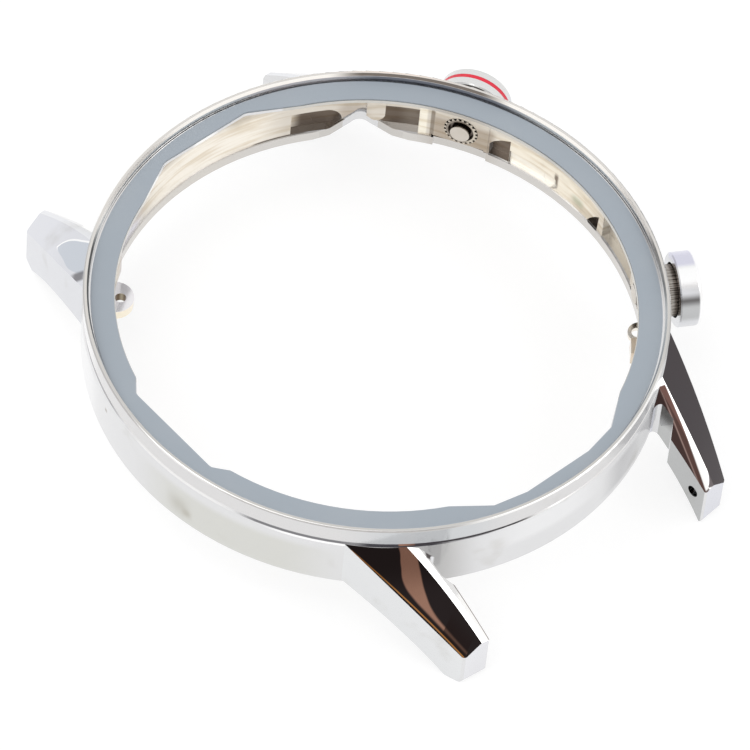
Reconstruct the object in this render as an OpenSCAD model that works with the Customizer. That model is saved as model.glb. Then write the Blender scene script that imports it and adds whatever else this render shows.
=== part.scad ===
// Bezel ring of a round smartwatch: the steel case frame with its four strap lugs, the bezel ring
// pressed on top, the adhesive film on the display ledge, and two round push buttons.
// Millimetres. The origin is on the ring's axis at the display seat, the top of the adhesive film.
// +Z points out of the display side, +Y to twelve o'clock, +X to three o'clock.

/* [Case ring] */
// Outside radius of the case frame
case_r = 22.6; // [22:0.1:24]
// Height of the case frame from its rear face to the shoulder under the bezel ring
case_h = 5.02; // [4.9:0.02:5.6]
// Thickness of the case wall, from the outside to the inner wall
wall_t = 1.55; // [1.3:0.05:1.7]
// Chamfer on the outer edges of the case frame
case_edge = 0.12; // [0.05:0.01:0.2]
// Reach of the rear flange inside the inner wall
flange_lip = 0.12; // [0.05:0.01:0.4]
// Thickness of the rear flange
flange_t = 0.9; // [0.6:0.05:1]
// Depth of the recess for the rear cover
rear_step = 0.45; // [0.2:0.05:0.6]
// Width of the rim around the recess for the rear cover
rear_rim = 0.6; // [0.5:0.05:1]

/* [Display seat] */
// Width of the display ledge inside the inner wall, away from its reliefs
ledge_w = 0.93; // [0.65:0.01:1.4]
// Thickness of the display ledge
ledge_t = 0.3; // [0.2:0.05:0.5]
// Thickness of the adhesive film
film_t = 0.1; // [0.05:0.01:0.2]
// Gap between the adhesive film and the bezel ring
film_gap = 0.15; // [0.1:0.01:0.5]
// Width of bare ledge left inside the film
film_margin = 0.06; // [0:0.01:0.2]

/* [Bezel ring] */
// Width of the bezel ring, from the outside to the display opening
bezel_w = 0.45; // [0.4:0.01:0.5]
// Height of the bezel ring's top above the display seat
bezel_top = 0.7; // [0.5:0.05:1]
// Width of the shoulder around the spigot that the bezel ring is pressed on
shoulder_w = 0.22; // [0.18:0.01:0.22]
// Height of the spigot above the shoulder
spigot_h = 0.85; // [0.6:0.05:1]
// Width of the chamfer inside the top edge
bezel_inner_chamfer = 0.15; // [0.05:0.01:0.2]
// Height of the chamfer inside the top edge
bezel_inner_chamfer_h = 0.25; // [0.1:0.01:0.35]
// Radius of the rounded outer top edge
bezel_edge = 0.14; // [0.05:0.01:0.2]
// Radial clearance of the press fit, nominal
press_gap = 0.01; // [0.005:0.005:0.02]

/* [Lugs] */
// Gap between two lugs, for a 22 mm strap
strap_gap = 22.1; // [18.1:0.1:22.5]
// Gap between two lugs in the relief beside the case
relief_gap = 23.7; // [22.7:0.1:24.5]
// Distance of that relief's outer end inside the case's outside
relief_in = 1.35; // [0.1:0.05:1.6]
// Reach of the lugs' end faces outside the case, on the strap side
lug_len = 3.75; // [3.45:0.05:4.9]
// Slant of the end faces, towards the outer flank
end_slant = 6; // [0:1:10]
// Lowest level of the lug tips below the display seat
lug_drop = 10.1; // [9.2:0.05:10.5]
// Level of the lug top where it leaves the case
lug_root_top = 1.2; // [1.1:0.05:1.6]
// Direction that the outer top face falls in, from the +X side
top_lean = 50; // [42:1:56]
// Fall of the outer top face from the case to the tip
top_fall = 5.8; // [5:0.05:6.5]
// Bulge of the outer top face above its straight chord
top_bulge = 0.3; // [0.2:0.02:0.6]
// Fall of the inner top face from the case to the end face
inner_fall = 4.6; // [4.4:0.05:5.4]
// Bulge of the inner top face above its straight chord
inner_bulge = 0.25; // [0.2:0.01:0.6]
// Drop of the bevel's lower edge below the inner top face, at the case
bevel_root = 1.2; // [0.6:0.05:1.4]
// Drop of the bevel's lower edge below the inner top face, at the end face
bevel_tip = 0.35; // [0.15:0.05:0.6]
// Bulge of the bevel above its straight chord
bevel_bulge = 0.16; // [0.1:0.01:0.4]
// Slope of the bevel across the lug
bevel_slope = 45; // [30:1:55]
// Fall of the lug underside from the case to the tip
under_fall = 4.55; // [3.8:0.05:4.8]
// Bulge of the lug underside above its straight chord
under_bulge = 0.39; // [0.2:0.01:0.6]
// Half width across the outer flanks at the lug root
flank_root_x = 16.5; // [16:0.05:17]
// Half width across the outer flanks at the lug tip
flank_tip_x = 13.38; // [13.2:0.02:14.4]
// Bulge of the outer flank in plan
flank_bulge = 0.15; // [0.05:0.01:0.4]
// Radius of the fillet between a lug and the case wall
lug_fillet = 0.5; // [0.3:0.1:1.6]
// Radius of the outer corner of a lug tip
tip_corner = 0.6; // [0.2:0.05:0.8]
// Radius of the inner corner of a lug tip
tip_inner_corner = 0.25; // [0.1:0.05:0.5]
// Radius of the rounded lower end of a lug tip
tip_round = 0.5; // [0.2:0.05:0.8]

/* [Spring bar holes] */
// Radius of the spring bar holes
bar_hole_r = 0.5; // [0.35:0.05:0.6]
// Depth of the spring bar holes
bar_hole_depth = 1.3; // [0.8:0.1:1.6]
// Distance of the hole from the lug's end face
bar_hole_inset = 1.35; // [1:0.05:1.6]
// Level of the hole below the display seat
bar_hole_drop = 7.38; // [7.1:0.02:7.5]

/* [Inner wall] */
// Depth of the milled pockets in the inner wall
pocket_depth = 0.75; // [0.4:0.05:0.8]
// Depth of the shallow pocket with a round end
shallow_depth = 0.2; // [0.1:0.05:0.4]
// Level of the pockets' top below the display ledge
pocket_top = 1.4; // [1.1:0.05:1.8]
// Reach of the flat pads inside the buttons, from the inner wall
pad_lip = 0.2; // [0.05:0.05:0.35]
// Half width of a flat pad
pad_half = 2.3; // [1.9:0.05:2.5]
// Height of the slot under a pad
pad_slot_h = 0.24; // [0.1:0.02:0.3]
// Reach of the hanging tab's inner face, from the inner wall
tab_lip = 0.45; // [0.15:0.05:0.65]

/* [Screw ears] */
// Radius of the screw holes in the ears
ear_hole_r = 0.45; // [0.4:0.05:0.6]
// Distance of the left ear's hole inside the inner wall
left_ear_in = 1.21; // [0.85:0.01:1.45]
// Direction of the left ear
left_ear_a = 130.8; // [126:0.2:132]
// Radius of the left ear's lobe
left_lobe_r = 1.5; // [1.2:0.05:1.8]
// Width of the left ear's rim inside its hole
left_rim = 0.6; // [0.3:0.05:0.8]
// Distance of the right ear's hole inside the inner wall
right_ear_in = 0.47; // [0.46:0.01:0.65]
// Direction of the right ear
right_ear_a = -36.8; // [-38:0.2:-36]
// Radius of the right ear's lobe
right_lobe_r = 1; // [0.9:0.05:1.4]
// Width of the right ear's rim inside its hole
right_rim = 0.3; // [0.25:0.05:0.5]
// Thickness of the right ear
right_ear_t = 0.4; // [0.3:0.05:0.9]

/* [Buttons] */
// Direction of the upper button; the lower one mirrors it
button_a = 30; // [29:0.5:31]
// Level of the button axes below the display seat
button_drop = 2.92; // [2.8:0.02:3]
// Radius of the button caps
cap_r = 2.95; // [2.6:0.05:3]
// Length of the button caps
cap_len = 1.8; // [1.6:0.05:2.2]
// Gap between the case and the back of a cap at rest
cap_gap = 1; // [0.8:0.05:1.2]
// How much nearer to the case the upper cap stands
upper_cap_in = 0.3; // [0:0.05:0.4]
// Travel of the buttons
travel = 0.5; // [0.2:0.05:0.5]
// Radius of the rounded edge of the caps
cap_edge = 0.35; // [0.15:0.05:0.5]
// Thickness of a cap's front wall
cap_face = 0.6; // [0.5:0.05:0.8]
// Radial clearance between cap and tube collar
cap_clear = 0.15; // [0.1:0.01:0.25]
// Distance from the cap's front to the accent ring
accent_back = 0.75; // [0.4:0.01:0.9]
// Width of the accent ring
accent_w = 0.35; // [0.2:0.01:0.5]
// Depth of the accent ring's groove
accent_d = 0.2; // [0.1:0.01:0.25]

/* [Button tubes] */
// Radius of the tube's knurled collar
collar_r = 2.05; // [1.95:0.05:2.1]
// Number of knurls on the collar
collar_teeth = 36; // [24:1:48]
// Depth of the knurls on the collar
collar_knurl = 0.1; // [0.05:0.01:0.15]
// Radius over the splines of the tube's barrel
spline_r = 1.4; // [1.35:0.01:1.45]
// Number of splines on the barrel
spline_teeth = 20; // [16:1:26]
// Depth of the splines on the barrel
spline_depth = 0.18; // [0.1:0.01:0.2]
// Reach of the tube past the inner pad
tube_proud = 0.05; // [0:0.01:0.1]
// Height of the collar above its seat
collar_h = 1.3; // [1.2:0.05:1.4]
// Depth of the spring's cup in the collar
cup_depth = 0.6; // [0.4:0.05:0.7]
// Radius of the spring's cup
cup_r = 1.75; // [1.65:0.05:1.8]
// Depth of the seat milled into the case for the collar
seat_depth = 0.2; // [0.15:0.01:0.3]
// Thickness of the case gasket
gasket_t = 0.15; // [0.1:0.01:0.2]
// Radius of the recess for the retaining clip
clip_recess_r = 1.06; // [1.04:0.01:1.1]
// Depth of the recess for the retaining clip
clip_recess = 0.7; // [0.6:0.05:0.8]

/* [Button stems] */
// Radius of the stems
stem_r = 0.8; // [0.7:0.02:0.8]
// Radial clearance of a stem in its tube
stem_clear = 0.03; // [0.02:0.01:0.05]
// Reach of a stem past the inner pad at rest
stem_reach = 0.35; // [0.3:0.05:0.6]
// Radius of the tenon pressed into the cap
tenon_r = 0.5; // [0.4:0.02:0.6]
// Length of that tenon
tenon_len = 0.35; // [0.2:0.05:0.4]
// Wire radius of the O-ring seals
seal_wire = 0.15; // [0.12:0.01:0.17]
// Distance between the two seals
seal_pitch = 0.6; // [0.5:0.05:0.65]
// Outside radius of the retaining clip and washer
clip_r = 1; // [0.95:0.01:1.02]
// Thickness of the retaining clip
clip_t = 0.2; // [0.12:0.02:0.2]
// Radius of the stem's groove for the clip
clip_groove_r = 0.6; // [0.5:0.02:0.66]
// Opening angle of the clip
clip_open = 70; // [50:5:90]
// Thickness of the washer
washer_t = 0.12; // [0.08:0.01:0.14]

/* [Button springs] */
// Mean radius of the springs
spring_r = 1.32; // [1.25:0.01:1.4]
// Wire radius of the springs
spring_wire = 0.1; // [0.07:0.01:0.12]
// Turns of the springs
spring_turns = 4; // [3:0.5:4]
// Turns of the upper button's shorter spring
upper_spring_turns = 2.5; // [2:0.5:2.5]

/* [Hidden] */

$fn = 96;
eps = 0.01;
degree = 180 / PI;
corner_shift = 0.04;
steel = "#c9cbce";

// Radii, from the outside in
wall_r = case_r - wall_t;
flange_r = wall_r - flange_lip;
rear_r = case_r - rear_rim;
ledge_r = wall_r - ledge_w;
bezel_bore_r = case_r - bezel_w;
film_r = bezel_bore_r - film_gap;
spigot_r = case_r - shoulder_w;
pad_flat = wall_r - pad_lip;
tab_r = wall_r - tab_lip;
left_ear_r = wall_r - left_ear_in;
right_ear_r = wall_r - right_ear_in;
relief_y = case_r - relief_in;
lug_end = case_r + lug_len;

// Levels, from the top down
ledge_z = -film_t;
shoulder_z = ledge_z - spigot_h;
rear_z = shoulder_z - case_h;
ledge_under_z = ledge_z - ledge_t;
flange_under_z = rear_z + rear_step;
flange_top_z = flange_under_z + flange_t;
pocket_top_z = ledge_z - pocket_top;
button_z = -button_drop;

// Reliefs of the display ledge: direction, depth of the flat, half width of the flat,
// half width and depth of the knee, half width of the mouth
reliefs = [
    [0, 0.45, 3.9, 4.2, 0.38, 8.2],
    [90, 0.18, 4.2, 4.4, 0.13, 5.6],
    [180, 0.68, 3.1, 5.9, 0.08, 8.8]
];

// Pockets of the inner wall, as directions seen from the axis
long_pocket = [-24, -9.5];
side_pocket = [18.5, 23.4];
round_pocket = [5.7, 18.5];
deep_pocket = [39.5, 50.6];
oval_pocket = [56.2, 67.5];
tab_span = [47, 51];
setback_span = [23.8, 36];
setback_depth = 0.07;
deep_drop = 0.25;
oval_drop = 0.7;
round_r = 0.74;
floor_step = 0.02;

// Outlines of two pockets above the flange, and of the tab's lower edge below the display seat,
// its width as a share of the half width
triangle_a = -6;
triangle_outline = [[0.7, 0], [0.45, 0.45], [0.15, 0.85], [-0.25, 1.3], [-0.66, 1.65], [-0.56, 0]];
side_top = [[-1, 2.52], [0, 2.12], [0.66, 1.67], [1, 1.27]];
tab_edge = [[-1, -2.5], [-0.8, -2.8], [-0.4, -3.02], [0.14, -3.06], [0.5, -2.9], [1, -2.55]];

// Notch of the rear flange: its middle, half width, apex, flanks, way through the wall and mouth
notch_a = 51.8;
notch_half = 3;
notch_apex_r = case_r + 0.18;
notch_round = 0.9;
notch_tilt = 54;
notch_gap = 0.1;
notch_skirt = 0.8;
notch_foot = 0.25;
notch_mouth = [[-0.5, 0.39], [0.9, -0.12], [0.9, -0.6]];

// Pads, ears and the bosses behind them
pad_root = 0.6;
slot_runout = 0.1;
ear_root = 0.6;
ear_step = 0.02;
left_boss = [123.5, 137.5];
left_boss_lip = 0.65;
right_boss = [-43.6, -39.2];
right_boss_lip = 1.07;
right_boss_h = 0.4;
boss_root = 0.3;

// Centre of an arc through p and q that bulges by s to the left of the way from p to q
function arc_r(p, q, s) = norm(q - p) * norm(q - p) / (8 * s) + s / 2;
function arc_c(p, q, s) =
    (p + q) / 2 - [p[1] - q[1], q[0] - p[0]] / norm(q - p) * (arc_r(p, q, s) - s);

// Arcs of the lugs: both ends and the bulge between them
root_r = case_r - 0.1;
top_p = [root_r, -lug_root_top];
top_q = [root_r + 6.1, -lug_root_top - top_fall];
inner_y = case_r - 3.6;
inner_top = -lug_root_top - 0.25;
inner_p = [inner_y, inner_top];
inner_q = [lug_end, inner_top - inner_fall];
bevel_p = [inner_y, (inner_p[1] - bevel_root) * cos(bevel_slope)];
bevel_q = [lug_end, (inner_q[1] - bevel_tip) * cos(bevel_slope)];
under_root = rear_z + 0.31;
under_p = [case_r, under_root];
under_q = [case_r + 5.82, under_root - under_fall];
flank_p = [flank_root_x, sqrt(case_r * case_r - flank_root_x * flank_root_x)];
flank_q = [flank_tip_x, lug_end - 0.25];
flank_r = arc_r(flank_p, flank_q, flank_bulge);
flank_c = arc_c(flank_q, flank_p, flank_bulge);
lug_x = strap_gap / 2;
relief_x = relief_gap / 2;
relief_ramp = 0.75;
lug_w = 6;
bar_y = lug_end - bar_hole_inset;
lug_reach = 16;
lug_sink = 0.3;
plan_in = case_r - 4.6;
plan_low = case_r - 10.6;

// Places along a button's axis, measured out from the ring's axis
cap_back = case_r + cap_gap;
cap_front = cap_back + cap_len;
hollow_end = cap_front - cap_face;
seat_u = case_r - seat_depth;
collar_base = seat_u + gasket_t;
collar_top = collar_base + collar_h;
cup_floor = collar_top - cup_depth;
tube_end = pad_flat - tube_proud;
recess_end = tube_end + clip_recess;
stem_end = pad_flat - stem_reach;
washer_u = recess_end - washer_t - eps;
clip_u = washer_u - clip_t - eps;
hollow_r = collar_r + cap_clear;
stem_bore_r = stem_r + stem_clear;
seal_ring_r = stem_bore_r - 0.015 - seal_wire;
seal_groove_r = seal_ring_r - seal_wire - 0.01;
outer_seal_u = cup_floor - seal_wire - 0.2;
inner_seal_u = outer_seal_u - seal_pitch;
spring_seat = 0.02;

// How much nearer the cap of the button in direction a stands
function cap_in(a) = a > 0 ? upper_cap_in : 0;

// Block between two directions, two radii and two levels
module sector(a0, a1, r0, r1, z0, z1) {
    rotate([0, 0, a0])
        rotate_extrude(angle = a1 - a0)
            translate([r0, z0])
                square([r1 - r0, z1 - z0]);
}

// Outline seen from the axis, x to the left and y up, run outwards from r0 to r1
module radial_prism(a, r0, r1) {
    rotate([0, 0, a])
        translate([r0, 0, 0])
            rotate([90, 0, 90])
                linear_extrude(r1 - r0)
                    children();
}

// Frame whose z axis runs out along a button's axis
module on_button_axis(a) {
    rotate([0, 0, a])
        translate([0, 0, button_z])
            rotate([0, 90, 0])
                children();
}

// Opening of the display ledge, grown by d; the sides of a relief run on a little inside the circle
module ledge_opening(d) {
    circle(ledge_r + d, $fn = 160);
    for (z = reliefs) {
        flat_y = ledge_r + z[1] + d;
        knee = [z[3] + d, ledge_r + z[4] + d];
        mouth = [z[5] + d, sqrt(ledge_r * ledge_r - z[5] * z[5])];
        inside = knee + 1.25 * (mouth - knee);
        rotate(z[0])
            polygon([
                [-inside[0], inside[1]], [-knee[0], knee[1]], [-z[2], flat_y],
                [z[2], flat_y], knee, inside
            ]);
    }
}

// Round body of the case frame
module case_body() {
    rotate_extrude($fn = 160)
        polygon([
            [flange_r, flange_under_z], [rear_r, flange_under_z], [rear_r, rear_z],
            [case_r - case_edge, rear_z], [case_r, rear_z + case_edge],
            [case_r, shoulder_z - case_edge], [case_r - case_edge, shoulder_z],
            [spigot_r, shoulder_z], [spigot_r, ledge_under_z - eps],
            [wall_r, ledge_under_z - eps], [wall_r, flange_top_z], [flange_r, flange_top_z]
        ]);
    translate([0, 0, ledge_under_z - eps])
        linear_extrude(ledge_t + eps)
            difference() {
                circle(spigot_r, $fn = 160);
                ledge_opening(0);
            }
}

// Space below an arc, in the x-y plane
module below_arc(p, q, bulge) {
    r = arc_r(p, q, bulge);
    intersection() {
        translate(arc_c(q, p, -bulge)) circle(r, $fn = 400);
        translate([p[0] - lug_reach / 2, -lug_drop - 1])
            square([1.5 * lug_reach, lug_drop + 1]);
    }
}

// Space above the lug underside, in a plane through the ring's axis
module above_under() {
    difference() {
        translate([case_r - lug_sink - 0.1, -lug_drop]) square([lug_reach, lug_drop]);
        translate(arc_c(under_q, under_p, -under_bulge))
            circle(arc_r(under_p, under_q, under_bulge), $fn = 300);
    }
}

// Wedge outside a rounded corner, between two directions; the arc meets both sides at a slight angle
module corner_cut(c, r, a0, a1) {
    translate(c + corner_shift * r * [cos((a0 + a1) / 2), sin((a0 + a1) / 2)])
        difference() {
            polygon([
                [0, 0], 3 * r * [cos(a0), sin(a0)],
                4 * r * [cos((a0 + a1) / 2), sin((a0 + a1) / 2)], 3 * r * [cos(a1), sin(a1)]
            ]);
            circle(r, $fn = 48);
        }
}

// Plan of the lug between twelve and three o'clock
module lug_plan() {
    fillet_y = sqrt(pow(case_r + lug_fillet, 2) - pow(relief_x - lug_fillet, 2));
    fillet_c = [relief_x - lug_fillet, fillet_y];
    inner_r = tip_inner_corner;
    inner_c = [lug_x + inner_r, lug_end - inner_r * (tan(end_slant) + 1 / cos(end_slant))];
    off = (lug_end - flank_c[1] + (lug_x - flank_c[0]) * tan(end_slant)) * cos(end_slant);
    along = sqrt(pow(flank_r - tip_corner, 2) - pow(off - tip_corner, 2));
    outer_c = flank_c + (off - tip_corner) * [sin(end_slant), cos(end_slant)]
        + along * [cos(end_slant), -sin(end_slant)];
    outer_a = atan2(outer_c[1] - flank_c[1], outer_c[0] - flank_c[0]);
    difference() {
        intersection() {
            polygon([
                [relief_x, plan_in], [relief_x, relief_y], [lug_x, relief_y + relief_ramp],
                [lug_x, lug_end], [lug_x + lug_w, lug_end - lug_w * tan(end_slant)],
                [case_r - 2.6, plan_low], [case_r - 8.6, plan_low]
            ]);
            translate(flank_c) circle(flank_r, $fn = 400);
        }
        corner_cut(outer_c, tip_corner, outer_a, 90 - end_slant);
        corner_cut(inner_c, inner_r, 90 - end_slant, 180);
    }
    difference() {
        polygon([
            fillet_c * (case_r - lug_sink) / norm(fillet_c), fillet_c,
            [relief_x + eps, fillet_y], [relief_x + eps, plan_in]
        ]);
        translate(fillet_c) circle(lug_fillet, $fn = 64);
    }
}

// Lug between twelve and three o'clock
module lug() {
    difference() {
        intersection() {
            rotate_extrude($fn = 160) above_under();
            translate([0, 0, -lug_drop - 1])
                linear_extrude(lug_drop + 1)
                    lug_plan();
            // Outer top face
            rotate([0, 0, top_lean])
                rotate([90, 0, 0])
                    translate([0, 0, -lug_reach])
                        linear_extrude(2 * lug_reach)
                            below_arc(top_p, top_q, top_bulge);
            // Inner top face
            rotate([90, 0, 90])
                linear_extrude(2 * lug_reach)
                    below_arc(inner_p, inner_q, inner_bulge);
            // Bevel along the strap side, ruled along its slope
            translate([lug_x, 0, 0])
                rotate([0, -bevel_slope, 0])
                    rotate([90, 0, 90])
                        translate([0, 0, -lug_reach])
                            linear_extrude(2 * lug_reach)
                                below_arc(bevel_p, bevel_q, bevel_bulge);
        }
        // Rounded lower end
        translate([lug_x, lug_end, -lug_drop + tip_round])
            rotate([0, 0, -end_slant])
                translate([-1, -tip_round, 0])
                    rotate([90, 0, 90])
                        linear_extrude(8)
                            rotate(-90)
                                corner_cut([0, 0], tip_round, 0, 90);
        // Spring bar hole
        translate([lug_x - 1, bar_y, -bar_hole_drop])
            rotate([0, 90, 0])
                cylinder(r = bar_hole_r, h = bar_hole_depth + 1, $fn = 32);
    }
}

// Outline of the notch for an apex at y: a rounded peak between two straight flanks
module notch_outline(apex, foot) {
    yc = apex - notch_round;
    reach = norm([notch_half, foot - yc]);
    ta = atan2(foot - yc, notch_half) + acos(notch_round / reach);
    inside = 0.97 * notch_round;
    t = [inside * cos(ta), yc + inside * sin(ta)];
    right = concat([t], [for (m = notch_mouth) [notch_half + m[0], foot + m[1]]]);
    polygon(concat(right, [for (i = [len(right) - 1:-1:0]) [-right[i][0], right[i][1]]]));
    translate([0, yc]) circle(notch_round, $fn = 64);
}

// Rounded notch: straight through the rear flange, slanting down and outwards through the wall
module flange_notch() {
    foot = flange_r - notch_foot;
    rotate([0, 0, notch_a - 90]) {
        translate([0, 0, rear_z - 1])
            linear_extrude(flange_top_z - rear_z + 1)
                notch_outline(notch_apex_r, foot);
        translate([0, 0, rear_z - 1])
            linear_extrude(rear_step + 1)
                notch_outline(notch_apex_r + notch_skirt, foot + notch_skirt);
        intersection() {
            translate([0, foot, flange_top_z])
                rotate([90 - notch_tilt, 0, 0])
                    translate([0, notch_gap, -4])
                        linear_extrude(8)
                            notch_outline((notch_apex_r - foot) * sin(notch_tilt), 0);
            translate([-6, ledge_r, flange_top_z - eps]) cube([12, 5, 4]);
        }
    }
}

// Radial hole with a round outline, seen from the axis
module radial_hole(a, z, r, depth) {
    rotate([0, 0, a])
        translate([ledge_r, 0, z])
            rotate([0, 90, 0])
                cylinder(r = r, h = wall_r + depth - ledge_r, $fn = 48);
}

// Milled pockets of the inner wall
module wall_pockets() {
    back = wall_r + pocket_depth;
    floor_z = flange_top_z - floor_step;
    sector(long_pocket[0], long_pocket[1], ledge_r, back, floor_z, pocket_top_z);
    // Narrow pocket with a curved upper side
    radial_prism(triangle_a, ledge_r, back)
        polygon([for (m = triangle_outline) [m[0], floor_z + m[1]]]);
    // Shallow pocket with a round end
    round_a = round_pocket[0] + round_r / wall_r * degree;
    round_z = floor_z + round_r;
    sector(round_a, round_pocket[1], ledge_r, wall_r + shallow_depth, floor_z,
        round_z + round_r);
    radial_hole(round_a, round_z, round_r, shallow_depth);
    // Deeper pocket beside it
    side_half = (side_pocket[1] - side_pocket[0]) / 2 / degree * wall_r;
    radial_prism((side_pocket[0] + side_pocket[1]) / 2, ledge_r, back)
        polygon(concat(
            [[-side_half, floor_z]],
            [for (m = side_top) [m[0] * side_half, flange_top_z + m[1]]],
            [[side_half, floor_z]]
        ));
    // Deep pocket behind the tab
    sector(deep_pocket[0], deep_pocket[1], ledge_r, back, floor_z, pocket_top_z - deep_drop);
    // Pocket with a round end beside the notch
    oval_z = pocket_top_z - oval_drop;
    oval_r = (oval_z - floor_z) / 2;
    oval_a = oval_pocket[0] + oval_r / wall_r * degree;
    sector(oval_a, oval_pocket[1], ledge_r, back, floor_z, oval_z);
    radial_hole(oval_a, floor_z + oval_r, oval_r, pocket_depth);
    // Setback of the flange under the upper pad
    sector(setback_span[0], setback_span[1], ledge_r, wall_r + setback_depth, rear_z,
        flange_top_z + setback_depth);
}

// Tab that hangs from the display ledge
module wall_tab() {
    half = (tab_span[1] - tab_span[0]) / 2 / degree * wall_r;
    radial_prism((tab_span[0] + tab_span[1]) / 2, tab_r, wall_r + pocket_depth + 0.15)
        polygon(concat(
            [[-half, ledge_under_z]], [for (m = tab_edge) [m[0] * half, m[1]]],
            [[half, ledge_under_z]]
        ));
}

// Flat pad that a button's tube passes through
module button_pad(a) {
    rotate([0, 0, a])
        translate([pad_flat, -pad_half, flange_top_z - eps])
            cube([wall_r - pad_flat + pad_root, 2 * pad_half,
                ledge_under_z - flange_top_z + 2 * eps]);
}

// Bore, outer seat and lower slot of a button
module button_cuts(a) {
    on_button_axis(a) {
        translate([0, 0, ledge_r]) cylinder(r = spline_r + press_gap, h = 3, $fn = 64);
        translate([0, 0, seat_u]) cylinder(r = collar_r + 0.1, h = 2, $fn = 64);
    }
    rotate([0, 0, a])
        translate([ledge_r, -pad_half + 3 * slot_runout, flange_top_z - floor_step])
            cube([pad_flat - ledge_r + 5 * slot_runout, 2 * pad_half - 2 * slot_runout,
                pad_slot_h + floor_step]);
}

// Rounded screw ear on the rear flange
module screw_ear(a, hole_r, lobe_r, rim, ear_t) {
    rotate([0, 0, a])
        translate([0, 0, flange_top_z - ear_t + ear_step])
            linear_extrude(ear_t - 2 * ear_step)
                difference() {
                    translate([hole_r - ear_hole_r - rim + lobe_r, 0]) circle(lobe_r, $fn = 64);
                    translate([flange_r + ear_root, -2 * lobe_r]) square(4 * lobe_r);
                }
}

// Hole of an ear, and the relief under an ear that is thinner than the flange
module ear_hole(a, hole_r, ear_t, rim) {
    rotate([0, 0, a])
        translate([hole_r, 0, flange_under_z - 1]) {
            cylinder(r = ear_hole_r, h = flange_t + 1 + ear_step, $fn = 32);
            if (ear_t < flange_t)
                cylinder(r = ear_hole_r + rim, h = flange_t - ear_t + 1 + ear_step, $fn = 48);
        }
}

module case_frame() {
    color(steel)
        difference() {
            union() {
                difference() {
                    union() {
                        case_body();
                        for (sx = [0, 1])
                            for (sy = [0, 1])
                                mirror([sx, 0, 0]) mirror([0, sy, 0]) lug();
                    }
                    wall_pockets();
                    flange_notch();
                }
                wall_tab();
                for (s = [-1, 1])
                    button_pad(s * button_a);
                screw_ear(left_ear_a, left_ear_r, left_lobe_r, left_rim, flange_t);
                screw_ear(right_ear_a, right_ear_r, right_lobe_r, right_rim, right_ear_t);
                // Bosses behind the ears
                sector(left_boss[0], left_boss[1], wall_r - left_boss_lip, wall_r + boss_root,
                    flange_top_z - 3 * ear_step, ledge_under_z + eps);
                sector(right_boss[0], right_boss[1], wall_r - right_boss_lip, wall_r + boss_root,
                    flange_under_z + ear_step, flange_top_z + right_boss_h);
            }
            for (s = [-1, 1])
                button_cuts(s * button_a);
            ear_hole(left_ear_a, left_ear_r, flange_t, left_rim);
            ear_hole(right_ear_a, right_ear_r, right_ear_t, right_rim);
        }
}

module bezel_ring() {
    lip_bottom = ledge_z;
    lower_r = spigot_r + press_gap;
    color("#dcdde0")
        rotate_extrude($fn = 160)
            union() {
                polygon([
                    [lower_r, shoulder_z], [case_r - case_edge, shoulder_z],
                    [case_r, shoulder_z + case_edge], [case_r, bezel_top - bezel_edge],
                    [case_r - bezel_edge, bezel_top - bezel_edge], [case_r - bezel_edge, bezel_top],
                    [bezel_bore_r + bezel_inner_chamfer, bezel_top],
                    [bezel_bore_r, bezel_top - bezel_inner_chamfer_h], [bezel_bore_r, 0],
                    [bezel_bore_r + 0.06, lip_bottom], [lower_r, lip_bottom]
                ]);
                translate([case_r - bezel_edge, bezel_top - bezel_edge])
                    intersection() {
                        circle(bezel_edge, $fn = 48);
                        translate([-eps, -eps]) square(2 * bezel_edge);
                    }
            }
}

module display_adhesive() {
    color("#a5afb9")
        translate([0, 0, ledge_z])
            linear_extrude(film_t)
                difference() {
                    circle(film_r, $fn = 160);
                    ledge_opening(film_margin);
                }
}

// Gear-like outline with n teeth of depth d
module toothed(r, d, n) {
    polygon([
        for (i = [0:n - 1])
            for (k = [0:3])
                let (a = 360 / n * (i + [0, 0.3, 0.5, 0.8][k]), q = k < 2 ? r : r - d)
                    [q * cos(a), q * sin(a)]
    ]);
}

module button_cap(a, accent) {
    color("#c4c6ca")
        on_button_axis(a)
            translate([0, 0, -cap_in(a)])
                difference() {
                    rotate_extrude($fn = 96)
                        union() {
                            polygon([
                                [hollow_r, cap_back], [cap_r - 0.1, cap_back], [cap_r, cap_back + 0.1],
                                [cap_r, cap_front - cap_edge], [cap_r - cap_edge, cap_front - cap_edge],
                                [cap_r - cap_edge, cap_front], [0, cap_front], [0, hollow_end],
                                [hollow_r, hollow_end]
                            ]);
                            translate([cap_r - cap_edge, cap_front - cap_edge])
                                intersection() {
                                    circle(cap_edge, $fn = 48);
                                    translate([-eps, -eps]) square(2 * cap_edge);
                                }
                        }
                    translate([0, 0, hollow_end - eps])
                        cylinder(r = tenon_r + press_gap, h = tenon_len + 2 * eps, $fn = 48);
                    if (accent)
                        accent_band(cap_r - accent_d, cap_r + 1, 0);
                }
}

// Band at the accent ring's place, between two radii
module accent_band(r0, r1, gap) {
    translate([0, 0, cap_front - accent_back - accent_w + gap])
        difference() {
            cylinder(r = r1, h = accent_w - 2 * gap, $fn = 96);
            translate([0, 0, -1]) cylinder(r = r0, h = accent_w + 2, $fn = 96);
        }
}

module button_accent_ring(a) {
    color("#d8324b")
        on_button_axis(a)
            translate([0, 0, -cap_in(a)])
                accent_band(cap_r - accent_d + press_gap, cap_r, press_gap);
}

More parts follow.
